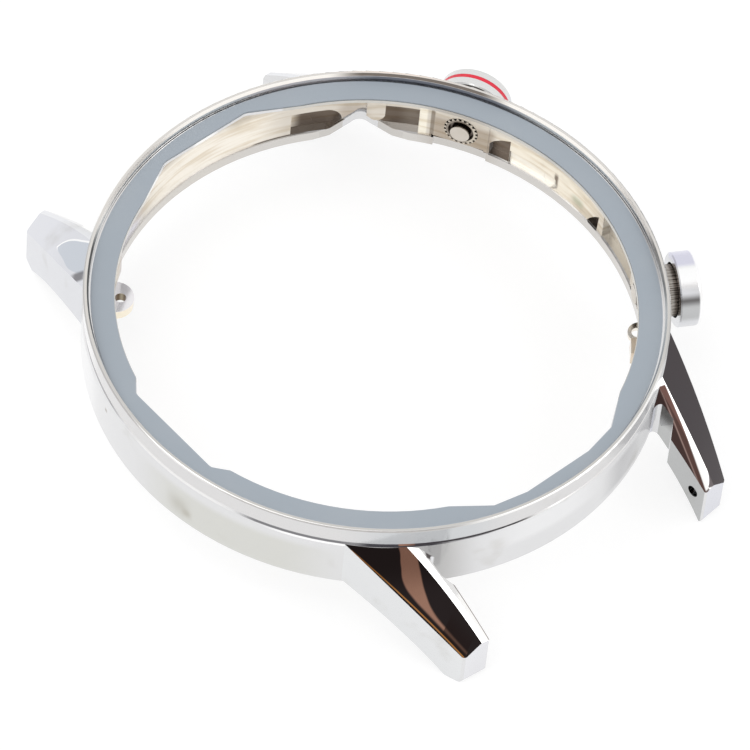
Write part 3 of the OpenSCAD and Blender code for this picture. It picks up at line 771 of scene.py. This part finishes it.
@dataclass
class Case:
    """The case frame, the bezel ring on it and the film on its ledge."""

    wall_r: float = 21.05
    pocket_top: float = -1.5
    ledge_under: float = -0.4
    finishes: dict[str, object] = field(default_factory=dict)

    def build(self) -> None:
        """Settle the finishes of the three pieces."""
        inner = Zone(
            (224, 217, 206), radius=(20.0, 22.1, 0.02), level=(-4.63, self.ledge_under, 0.02)
        )
        self.finishes = {
            "case_frame": Metal(
                "polished_case_steel",
                (223, 223, 224),
                0.1,
                marks=(
                    self._outside() + self._inside(inner) + self._ears() + self._strips()
                    + self._south_west_lug() + self._south_east_lug() + self._north_west_lug()
                ),
                dull=(inner,),
                streaks=replace(inner, tone=(214, 200, 176), share=0.5),
                scratch_share=0.1,
                echo=0.95,
            ),
            "bezel_ring": Metal(
                "polished_bezel_steel", (218, 217, 217), 0.1, marks=self._bezel(),
                cloud_share=0.15, scratch_share=0.1,
            ),
            "display_adhesive": Soft(
                "display_film", (162, 171, 180), (170, 177, 184), 0.42, scale=180.0, share=0.4
            ),
        }

    def _outside(self) -> tuple[Zone, ...]:
        """Painted reflections and a few stains on the outside wall, with painted highlights and
        painted shade in and under the groove beneath the bezel ring.

        Returns:
            The marks, those on top last.
        """
        wall = (22.45, 22.66, 0.02)
        groove = (-1.17, -0.98, 0.03)
        return (
            Zone((238, 238, 239), (149, 9, 4), wall, (-6, -2.0, 0.3), 0.8),
            Zone((199, 197, 197), (143, 8, 3), wall, (-2.0, -1.2, 0.3), 0.9),
            Zone((210, 210, 204), (-160, 18, 8), wall, (-6, -2.2, 0.5), 0.8),
            Zone((192, 191, 190), (-121, 7, 5), wall, (-6, -1.1, 0.1), 0.9),
            Zone((236, 236, 237), (-95, 10, 6), wall, (-3.6, -1.1, 0.5), 0.8),
            Zone((182, 182, 184), (-72, 6, 4), wall, (-5.4, -1.9, 0.5), 0.85),
            Zone((150, 150, 154), (-60.5, 5, 4), wall, (-5.6, -2.0, 0.8), 0.9),
            Zone((176, 173, 162), (-171.6, 2.2, 2), wall, (-5.0, -3.4, 0.9), 0.5),
            Zone((170, 164, 150), (-169.6, 0.9, 0.8), wall, (-5.0, -4.3, 0.4), 0.5),
            Zone((197, 197, 198), (-38, 5, 4), wall, (-6, -1.4, 0.3), 0.85),
            # A painted highlight along the edge under the groove.
            Zone((255, 255, 255), (-140, 11, 4), wall, (-1.42, -1.17, 0.03)),
            Zone((150, 140, 128), (164.2, 0.4, 0.3), wall, (-2.95, -2.6, 0.12), 0.7),
            # Painted shade in the groove under the bezel ring, with painted highlights where it is
            # lighter.
            Zone((128, 127, 130), (-146, 11, 3), wall, groove),
            Zone((70, 68, 73), (-126, 9, 3), wall, (-1.25, -0.96, 0.03)),
            Zone((142, 141, 143), (-113, 5, 3), wall, groove),
            Zone((150, 148, 151), (160, 9, 3), wall, groove, 0.7),
            Zone((240, 239, 238), (-173, 12, 5), wall, groove),
            Zone((228, 227, 226), (-80, 26, 5), wall, groove),
        )

    def _inside(self, inner: Zone) -> tuple[Zone, ...]:
        """Painted reflections and painted shade on the inner wall, its pockets, the ledge's edge
        and the flange: dark pockets, shelves and pocket ends, light bands and highlights, with one
        green stain.

        Args:
            inner: The whole inner side, the first mark.

        Returns:
            The marks, those on top last.
        """
        wall = (20.3, self.wall_r + 0.06, 0.02)
        floor = (self.wall_r + 0.08, 22.06, 0.02)
        depth = (-4.66, self.pocket_top + 0.05, 0.02)
        flange, front = (20.2, 21.04, 0.01), (-5.6, -4.6, 0.01)
        shelf = (-4.75, -4.55, 0.02)
        step, shallow = (21.0, 21.5, 0.02), (self.wall_r + 0.08, 21.5, 0.02)
        ledge, rim = (20.0, 20.3, 0.02), (-0.42, 0.1, 0.02)
        return (
            inner,
            Zone((254, 246, 230), (7, 14, 5), (20.3, 21.5, 0.02), (-4.7, -1.9, 0.35)),
            Zone((255, 249, 238), (89, 17, 5), wall, (-4.7, -1.2, 0.4)),
            Zone((184, 171, 155), (29.5, 7, 1), wall, (-4.7, -2.0, 0.35), 0.9),
            Zone((198, 188, 177), (54, 3, 1.5), wall, (-4.7, -1.8, 0.4), 0.9),
            Zone((206, 192, 170), (-4, 5, 3), wall, (-4.7, -3.6, 0.4), 0.7),
            Zone((176, 186, 160), (-0.6, 1.6, 1.0), wall, (-4.1, -3.3, 0.35), 0.55),
            # Painted shade in the pockets, lightened where they catch light.
            Zone((112, 100, 89), radius=floor, level=depth),
            Zone((236, 226, 208), (-17, 7.6, 0.4), floor, depth),
            Zone((255, 250, 238), (-11.5, 2.4, 1.2), floor, (-3.4, -1.3, 0.5)),
            Zone((134, 124, 113), (41, 2.0, 1.6), floor, depth, 0.9),
            Zone((238, 228, 212), (68.6, 2.6, 1.6), floor, depth),
            Zone((238, 228, 212), (66, 2.2, 1.2), floor, (-2.9, -1.3, 0.25)),
            Zone((255, 249, 236), (12.1, 6.35, 0.05), shallow, depth),
            Zone((150, 128, 104), (13, 5.4, 0.3), shallow, (-3.32, -3.0, 0.05), 0.8),
            Zone((84, 70, 60), (51.9, 1.1, 0.2), (20.9, 22.95, 0.02), (-4.45, -3.4, 0.05)),
            Zone((226, 226, 237), (117, 7, 3), wall, (-6, -1.2, 0.4), 0.8),
            Zone((104, 92, 82), (92, 30, 2), floor, shelf),
            Zone((120, 110, 100), (61.5, 6, 1), floor, shelf),
            Zone((114, 104, 93), (70, 6, 1), wall, (-4.75, -4.48, 0.06)),
            Zone((194, 187, 178), (45, 6, 1), floor, shelf),
            Zone((255, 249, 234), (38.6, 0.9, 0.3), wall, (-4.7, self.pocket_top, 0.15)),
            Zone((160, 150, 138), (36.5, 0.45, 0.15), wall, (-4.7, self.pocket_top, 0.2)),
            Zone((92, 76, 66), (30, 6.1, 0.3), (20.86, 21.2, 0.02), (-4.75, -4.53, 0.03)),
            Zone((120, 106, 92), (6.1, 0.5, 0.3), step, (-4.2, -2.7, 0.3), 0.9),
            Zone((212, 209, 205), radius=flange, level=front),
            Zone((206, 203, 199), (50, 34, 1), (21.03, 21.95, 0.01), (-5.6, -4.68, 0.01)),
            Zone((193, 187, 180), (30, 7, 4), flange, front),
            Zone((214, 210, 204), (97, 16, 6), flange, front),
            Zone((252, 250, 244), (2.5, 4, 2), flange, (-4.66, -4.6, 0.01)),
            Zone((206, 204, 199), radius=ledge, level=rim),
            Zone((186, 181, 174), (30, 7, 4), ledge, rim),
            Zone((254, 254, 253), (98, 14, 5), (20.0, 20.6, 0.02), rim),
        )

    def _ears(self) -> tuple[Zone, ...]:
        """Painted reflections on the two screw ears and the bosses beside them, with painted shade
        on the far wall of each ear's hole.

        Returns:
            The marks, those on top last.
        """
        front, top = (-5.6, -4.6, 0.01), (-5.6, -4.66, 0.01)
        hole = (19.3, 20.35, 0.02)
        return (
            Zone((238, 236, 238), (131, 8, 0.5), (18.3, 20.5, 0.02), front),
            Zone((250, 240, 220), (135, 4, 2), (18.3, 20.4, 0.02), (-5.6, -4.68, 0.02)),
            Zone((238, 232, 208), (130.8, 1.7, 0.2), hole, top),
            Zone((100, 84, 66), (130.1, 0.7, 0.3), hole, top),
            Zone((244, 238, 228), (-37, 4, 0.5), (19.4, 20.9, 0.02), front),
            Zone((228, 214, 196), (-42, 3, 0.6), (19.7, 20.9, 0.02), (-5.6, -4.0, 0.01)),
        )

    def _strips(self) -> tuple[Zone, ...]:
        """Painted reflections on the strips that face the ends, on all four lugs: a white highlight
        on those facing one way, pale grey on the others.

        Returns:
            The marks, those on top last.
        """
        return (
            Zone((255, 254, 252), ALL_ROUND, LUG, way=(0, -0.53, 0.85), least=0.96),
            Zone((230, 231, 234), ALL_ROUND, LUG, way=(0, 0.53, 0.85), least=0.96),
        )

    def _south_west_lug(self) -> tuple[Zone | Stripe, ...]:
        """Painted reflections on the lug nearest to the camera: a black top with a brown streak and
        a gold edge line, a white bevel and pale flanks, with painted shade at its root, along the
        bevel and on the relief.

        Returns:
            The marks, those on top last.
        """
        around = (-122, 16, 0.5)
        edge, tip = (-16.3, -16.0), (-13.3, -26.0)
        root, foot = (-11.05, -20.0), (-11.05, -26.4)
        top, bevel = (-0.44, -0.53, 0.73), (0.66, -0.35, 0.66)
        beyond = ((0.0, 1.0), (1.0, 1.0))
        return (
            Zone((40, 34, 34), around, LUG, way=top),
            Stripe(
                (150, 113, 96), edge, tip,
                ((0.0, 3.0), (0.27, 2.1), (0.344, 1.32), (0.435, 0.51), (0.53, 0.3),
                 (0.66, 0.23), (1.0, 0.19)),
                ((0.0, 4.0), (0.3, 3.3), (0.383, 2.67), (0.472, 1.88), (0.587, 0.98),
                 (0.69, 0.52), (0.844, 0.35), (1.0, 0.3)),
                top, soft=0.09,
            ),
            Stripe(
                (36, 27, 26), (-13.9, -24.0), tip, ((0.0, -0.6), (1.0, -0.6)), beyond,
                top, soft=0.5, share=0.7,
            ),
            Stripe(
                (182, 126, 70), edge, tip, ((0.0, -0.11), (1.0, -0.09)),
                ((0.0, -0.03), (1.0, -0.01)), top, soft=0.02, share=0.8,
            ),
            Zone((66, 62, 66), (-112, 12, 2), (22.5, 22.78, 0.05), way=top),
            Zone((255, 254, 252), around, LUG, way=bevel),
            Stripe(
                (92, 70, 56), root, foot, ((0.0, -0.13), (1.0, -0.1)), beyond,
                bevel, soft=0.02, share=0.85,
            ),
            Zone(
                (58, 44, 42), (-120.6, 0.9, 0.3), (22.6, 23.2, 0.1), (-3.4, -1.85, 0.1),
                way=bevel, least=0.8,
            ),
            Zone((225, 226, 227), around, LUG, way=(-0.96, -0.29, 0)),
            Zone((228, 228, 231), around, LUG, way=(-0.1, -0.99, 0)),
        )

    def _south_east_lug(self) -> tuple[Zone | Stripe, ...]:
        """Painted reflections on the lug beside the lower button: a dark top, a brown bevel with a
        light fold line and a white edge, and dark bands on its strip, with painted shade on the
        relief wall.

        Returns:
            The marks, those on top last.
        """
        around = (-58, 16, 0.5)
        ridge, end = (12.7, -19.0), (11.2, -26.2)
        bevel, strip, inner = (-0.66, -0.35, 0.66), (0, -0.53, 0.85), (-1, 0, 0)
        return (
            Zone((76, 71, 73), around, LUG, way=(0.44, -0.53, 0.73)),
            Zone((88, 66, 61), around, LUG, way=bevel),
            Stripe(
                (64, 50, 48), ridge, end, ((0.0, -2.0), (1.0, -2.0)),
                ((0.0, -0.5), (1.0, -0.3)), bevel, soft=0.1, share=0.8,
            ),
            Stripe(
                (178, 152, 144), ridge, end, ((0.0, -0.44), (0.6, -0.42), (1.0, -0.3)),
                ((0.0, -0.38), (0.6, -0.36), (1.0, -0.27)), bevel, soft=0.05, share=0.75,
            ),
            Stripe(
                (255, 254, 252), ridge, end, ((0.0, 0.05), (1.0, -0.04)),
                ((0.0, 3.0), (1.0, 3.0)), bevel, soft=0.05,
            ),
            Stripe(
                (84, 62, 57), ridge, end, ((0.0, -3.0), (1.0, -3.0)),
                ((0.0, 0.12), (0.5, 0.05), (1.0, -0.04)), strip, soft=0.06, least=0.96,
            ),
            Stripe(
                (84, 79, 80), ridge, end,
                ((0.0, 9.0), (0.79, 9.0), (0.8, 0.8), (0.83, 0.69), (0.94, 0.42), (1.0, 0.05)),
                ((0.0, 12.0), (1.0, 12.0)), strip, soft=0.08, least=0.96,
            ),
            Zone((186, 187, 187), around, LUG, way=inner),
            Zone((100, 98, 96), (-59.3, 2.2, 1.2), LUG, (-3.9, -1.3, 0.8), way=inner),
            Zone((218, 219, 226), around, LUG, way=(0.1, -0.99, 0)),
        )

    def _north_west_lug(self) -> tuple[Zone | Stripe, ...]:
        """Painted reflections on the pale lug at eleven o'clock: a white band and a pale blue facet
        beside its root, with painted shade in the groove at its root.

        Returns:
            The marks, those on top last.
        """
        around = (122, 16, 0.5)
        tip, edge = (-13.3, 26.0), (-16.3, 16.0)
        top = (-0.44, 0.53, 0.73)
        return (
            Zone((221, 222, 227), around, LUG, way=top),
            Stripe(
                (252, 252, 252), tip, edge,
                ((0.0, 9.0), (0.43, 9.0), (0.44, 0.5), (0.62, 0.34), (0.79, 0.2), (1.0, 1.7)),
                ((0.0, 0.0), (0.44, 0.4), (0.45, 0.9), (0.49, 1.5), (0.6, 2.1), (1.0, 4.0)),
                top, soft=0.06,
            ),
            Stripe(
                (202, 207, 215), tip, edge,
                ((0.0, 9.0), (0.45, 9.0), (0.46, 0.5), (0.62, 0.22), (0.79, 0.1), (1.0, 1.6)),
                ((0.0, 0.0), (0.45, 0.4), (0.46, 0.78), (0.5, 1.38), (0.61, 1.98), (1.0, 3.9)),
                top, soft=0.05,
            ),
            Zone((112, 110, 114), (133.3, 1.2, 0.5), (22.6, 23.6, 0.3), (-3, -1, 0.3), 0.85),
            Zone((219, 220, 224), around, LUG, way=(-0.95, 0.31, 0)),
        )

    def _bezel(self) -> tuple[Zone, ...]:
        """Painted reflections on the bezel ring's side, edge, top, chamfer and bore: light and dark
        bands around it.

        Returns:
            The marks, those on top last.
        """
        side = (22.5, 22.7, 0.01)
        tall = (-1.1, 0.57, 0.01)
        edge = (22.47, 22.7, 0.01)
        lip = (0.57, 0.695, 0.005)
        slope = (22.16, 22.31, 0.005)
        fall = (0.4, 0.695, 0.002)
        crown, crest = (22.31, 22.47, 0.005), (0.695, 0.8, 0.002)
        bore, deep = (22.0, 22.156, 0.004), (-0.1, 0.47, 0.01)
        return (
            Zone((206, 208, 210), (-121, 12, 6), side, tall),
            Zone((190, 190, 192), (-70, 5, 4), side, tall),
            Zone((192, 193, 196), (-40, 7, 4), side, tall),
            Zone((206, 204, 204), (135, 8, 4), side, tall),
            Zone((236, 235, 235), (151, 6, 3), side, tall),
            Zone((190, 188, 186), radius=edge, level=lip),
            Zone((246, 245, 243), (-85, 28, 5), edge, lip),
            Zone((236, 235, 233), (-172, 9, 6), edge, lip),
            Zone((255, 253, 250), (95, 30, 5), edge, lip),
            Zone((205, 203, 199), radius=crown, level=crest),
            Zone((222, 218, 213), (60, 95, 20), crown, crest),
            Zone((238, 226, 216), (45, 9, 6), crown, crest),
            Zone((253, 249, 243), radius=slope, level=fall),
            Zone((122, 114, 107), (40, 16, 4), slope, fall),
            Zone((118, 112, 106), (141, 14, 4), slope, fall),
            Zone((195, 192, 190), (-125, 74, 8), slope, fall),
            Zone((150, 149, 147), (-31, 8, 4), slope, fall),
            Zone((255, 252, 248), radius=bore, level=deep),
            Zone((252, 242, 238), (64, 13, 6), bore, deep),
            Zone((164, 163, 168), (37, 17, 6), bore, deep),
            Zone((122, 114, 110), (146, 16, 8), bore, deep),
            Zone((186, 184, 183), (-26, 10, 5), bore, deep),
        )

    def dress(self, nodes: dict[str, bpy.types.Object], effects: Effects) -> None:
        """Put the finishes on.

        Args:
            nodes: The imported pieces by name.
            effects: The shared groups.
        """
        for name, finish in self.finishes.items():
            dress(nodes[name], finish.make(effects))


@dataclass
class Button:
    """One push button and what holds and seals it."""

    side: Side
    finishes: dict[str, object] = field(default_factory=dict)

    def build(self) -> None:
        """Settle the finishes of the button's pieces."""
        rubber = Soft("seal_rubber", (34, 34, 37), (52, 52, 56), 0.5, scale=900.0)
        self.finishes = {
            "cap": Metal(
                f"{self.side.value}_cap_steel", (220, 221, 224), 0.16, grain_scale=1800.0,
                cloud_share=0.15, marks=self._cap(),
            ),
            # The stem is painted dark where it runs into the tube: painted shade.
            "stem": Metal(
                f"{self.side.value}_stem_steel", (212, 205, 195), 0.28, grain_scale=2500.0,
                marks=(Band((92, 80, 70), self.side, along=(20.6, 30.0, 0.05)),),
            ),
            "tube": Metal(
                f"{self.side.value}_tube_steel", (150, 141, 131), 0.3, grain_scale=2500.0,
                grain_depth=0.2, marks=self._tube(),
            ),
            "case_gasket": rubber,
            "outer_seal": rubber,
            "inner_seal": rubber,
            "spring": Metal("spring_wire", (168, 170, 175), 0.25, grain_scale=3000.0),
            "washer": Soft("washer_plastic", (232, 228, 218), (222, 216, 203), 0.45),
            "clip": Metal("clip_steel", (120, 112, 106), 0.3, grain_scale=3000.0),
        }
        if self.side is Side.UPPER:
            self.finishes["accent_ring"] = Soft(
                "accent_enamel", (230, 26, 58), (238, 58, 66), 0.35, scale=900.0, coat=0.2
            )

    def _cap(self) -> tuple[Band, ...]:
        """Painted reflections around the cap's side: white highlights and darker bands.

        Returns:
            The marks, those on top last.
        """
        if self.side is Side.UPPER:
            return (
                Band((224, 224, 223), self.side, (0, 60, 10)),
                Band((212, 214, 212), self.side, (20, 45, 20), (24.85, 25.2, 0.05)),
            )
        side = (2.5, 3.1, 0.05)
        return (
            Band((214, 214, 228), self.side, (25, 27, 2), out=side),
            Band((252, 252, 252), self.side, (-19, 17, 7), out=side),
            Band((190, 191, 192), self.side, (-76, 18, 8), out=side),
            Band((108, 106, 106), self.side, (-57, 6, 7), out=side),
            Band((252, 252, 253), self.side, along=(25.1, 30.0, 0.08), out=(2.0, 3.1, 0.05)),
        )

    def _tube(self) -> tuple[Band, ...]:
        """Tones of the sleeve: light splines, the step in its end and a grey collar, with painted
        shade in the notches between the splines and on the collar next to the cap.

        Returns:
            The marks, those on top last.
        """
        sleeve, collar = (20.0, 20.9, 0.02), (1.9, 2.2, 0.02)
        return (
            Band((206, 197, 183), self.side, along=sleeve, out=(1.26, 1.5, 0.01)),
            Band((206, 197, 183), self.side, (-90, 60, 15), sleeve, (1.0, 1.5, 0.01)),
            Band((84, 72, 62), self.side, along=(20.0, 20.8, 0.02), out=(0.8, 1.08, 0.02)),
            Band((170, 165, 159), self.side, along=(21.5, 24.0, 0.02), out=collar),
            Band((96, 88, 81), self.side, along=(23.3, 24.5, 0.15), out=collar),
        )

    def dress(self, nodes: dict[str, bpy.types.Object], effects: Effects) -> None:
        """Put the finishes on.

        Args:
            nodes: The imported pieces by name.
            effects: The shared groups.
        """
        made: dict[str, bpy.types.Material] = {}
        for part, finish in self.finishes.items():
            if finish.name not in made:
                made[finish.name] = finish.make(effects)
            dress(nodes[f"{self.side.value}_button_{part}"], made[finish.name])


@dataclass
class Studio:
    """Pale floor, soft light and the camera."""

    floor_gap: float = 0.02
    floor_size: float = 600.0
    floor_light: float = 0.93
    floor_shown: float = 0.36
    floor_glow: float = 0.7
    dark_way: Way = (-0.30, -0.42, 0.86)
    dark_from: float = 0.95
    dark_full: float = 0.985
    dark_tone: Tone = (196, 190, 188)
    room_light: float = 0.72
    azimuth: float = -45.637
    elevation: float = 52.104
    roll: float = 6.007
    distance: float = 450.0
    focal_pixels: float = 5872.4
    aim: Way = (-0.223, -6.215, 0.7)

    def build(self, lowest: float) -> None:
        """Make the floor, the world, the lamps and the camera.

        Args:
            lowest: Level of the object's lowest point, in metres.
        """
        self._floor(lowest - self.floor_gap * MM)
        self._world()
        self._lamp("key", (-0.22, 0.05, 0.5), 0.5, 0.9)
        self._lamp("fill", (0.3, -0.36, 0.42), 0.4, 0.5)
        self._camera()

    def _floor(self, level: float) -> None:
        """Lay a plain pale floor.

        Args:
            level: Its level in metres.
        """
        form = bmesh.new()
        bmesh.ops.create_grid(form, x_segments=1, y_segments=1, size=self.floor_size * MM)
        bmesh.ops.translate(form, verts=form.verts, vec=(0, 0, level))
        mesh = bpy.data.meshes.new("floor")
        form.to_mesh(mesh)
        form.free()
        floor = bpy.data.objects.new("floor", mesh)
        bpy.context.scene.collection.objects.link(floor)
        material = bpy.data.materials.new("pale_floor")
        material.use_nodes = True
        t = Tree(material.node_tree)
        shader = material.node_tree.nodes["Principled BSDF"]
        shader.inputs["Roughness"].default_value = 0.9
        shader.inputs["Specular IOR Level"].default_value = 0.0
        paths = t.add("ShaderNodeLightPath").outputs
        seen = t.math("MAXIMUM", paths["Is Camera Ray"], paths["Is Glossy Ray"])
        light, shown = ((v, v, v, 1.0) for v in (self.floor_light, self.floor_shown))
        t.put(t.mix(seen, light, shown), shader.inputs["Base Color"])
        glow = t.add("ShaderNodeEmission")
        t.put(t.math("MULTIPLY", seen, self.floor_glow), glow.inputs["Strength"])
        both = t.add("ShaderNodeAddShader")
        t.put(shader.outputs[0], both.inputs[0])
        t.put(glow.outputs[0], both.inputs[1])
        t.put(both.outputs[0], material.node_tree.nodes["Material Output"].inputs["Surface"])
        mesh.materials.append(material)
        floor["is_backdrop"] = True
        LOG.info("floor: %s", material.name)

    def _world(self) -> None:
        """Light the room: white, and darker where the photographer stands."""
        world = bpy.data.worlds.new("soft_room")
        bpy.context.scene.world = world
        world.use_nodes = True
        t = Tree(world.node_tree)
        ground = world.node_tree.nodes["Background"]
        way = t.add("ShaderNodeTexCoord").outputs["Generated"]
        dot = t.add("ShaderNodeVectorMath", operation="DOT_PRODUCT")
        t.put(way, dot.inputs[0])
        dot.inputs[1].default_value = Vector(self.dark_way).normalized()
        share = t.smooth(dot.outputs["Value"], self.dark_from, self.dark_full)
        colour = t.mix(share, WHITE, linear(self.dark_tone))
        paths = t.add("ShaderNodeLightPath").outputs
        shown = t.math("MAXIMUM", paths["Is Glossy Ray"], paths["Is Transmission Ray"])
        strength = t.math("MULTIPLY_ADD", shown, 1.0 - self.room_light, self.room_light)
        colour = t.mix(paths["Is Camera Ray"], colour, WHITE)
        t.put(colour, ground.inputs["Color"])
        t.put(t.math("MAXIMUM", strength, paths["Is Camera Ray"]), ground.inputs["Strength"])

    def _lamp(self, name: str, place: tuple, size: float, power: float) -> None:
        """Hang a square soft lamp that faces the object.

        Args:
            name: Its name.
            place: Where it hangs, in metres.
            size: Its side in metres.
            power: Its power in watts.
        """
        light = bpy.data.lights.new(name, "AREA")
        light.size = size
        light.energy = power
        lamp = bpy.data.objects.new(name, light)
        lamp.location = place
        lamp.rotation_mode = "QUATERNION"
        lamp.rotation_quaternion = (-Vector(place)).to_track_quat("-Z", "Y")
        bpy.context.scene.collection.objects.link(lamp)

    def _camera(self) -> None:
        """Stand the camera where the photograph was taken from."""
        az, el, roll = (math.radians(v) for v in (self.azimuth, self.elevation, self.roll))
        back = Vector((math.sin(az) * math.cos(el), -math.cos(az) * math.cos(el), math.sin(el)))
        right = Vector((math.cos(az), math.sin(az), 0))
        up = back.cross(right)
        across = right * math.cos(roll) + up * math.sin(roll)
        along = up * math.cos(roll) - right * math.sin(roll)
        place = across * self.aim[0] + along * self.aim[1] + back * self.distance
        place = (place + Vector((0, 0, self.aim[2]))) * MM
        lens = bpy.data.cameras.new("camera")
        lens.sensor_width = SENSOR_WIDTH
        lens.lens = self.focal_pixels / PHOTO_PIXELS * SENSOR_WIDTH
        lens.clip_start, lens.clip_end = 0.01, 5
        camera = bpy.data.objects.new("camera", lens)
        turn = Matrix((across, along, back)).transposed().to_4x4()
        camera.matrix_world = Matrix.Translation(place) @ turn
        bpy.context.scene.collection.objects.link(camera)
        bpy.context.scene.camera = camera


def main() -> None:
    """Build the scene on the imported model."""
    logging.basicConfig(level=logging.INFO, format="%(message)s")
    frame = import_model()
    packed = [list(corner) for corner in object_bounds()]
    scene = bpy.context.scene
    scene.view_settings.view_transform = "Standard"
    effects = Effects()
    parts = [Case(), Button(Side.UPPER), Button(Side.LOWER)]
    for part in parts:
        part.build()
        part.dress(frame["nodes"], effects)
    Studio().build(packed[0][2])


if __name__ == "__main__":
    main()
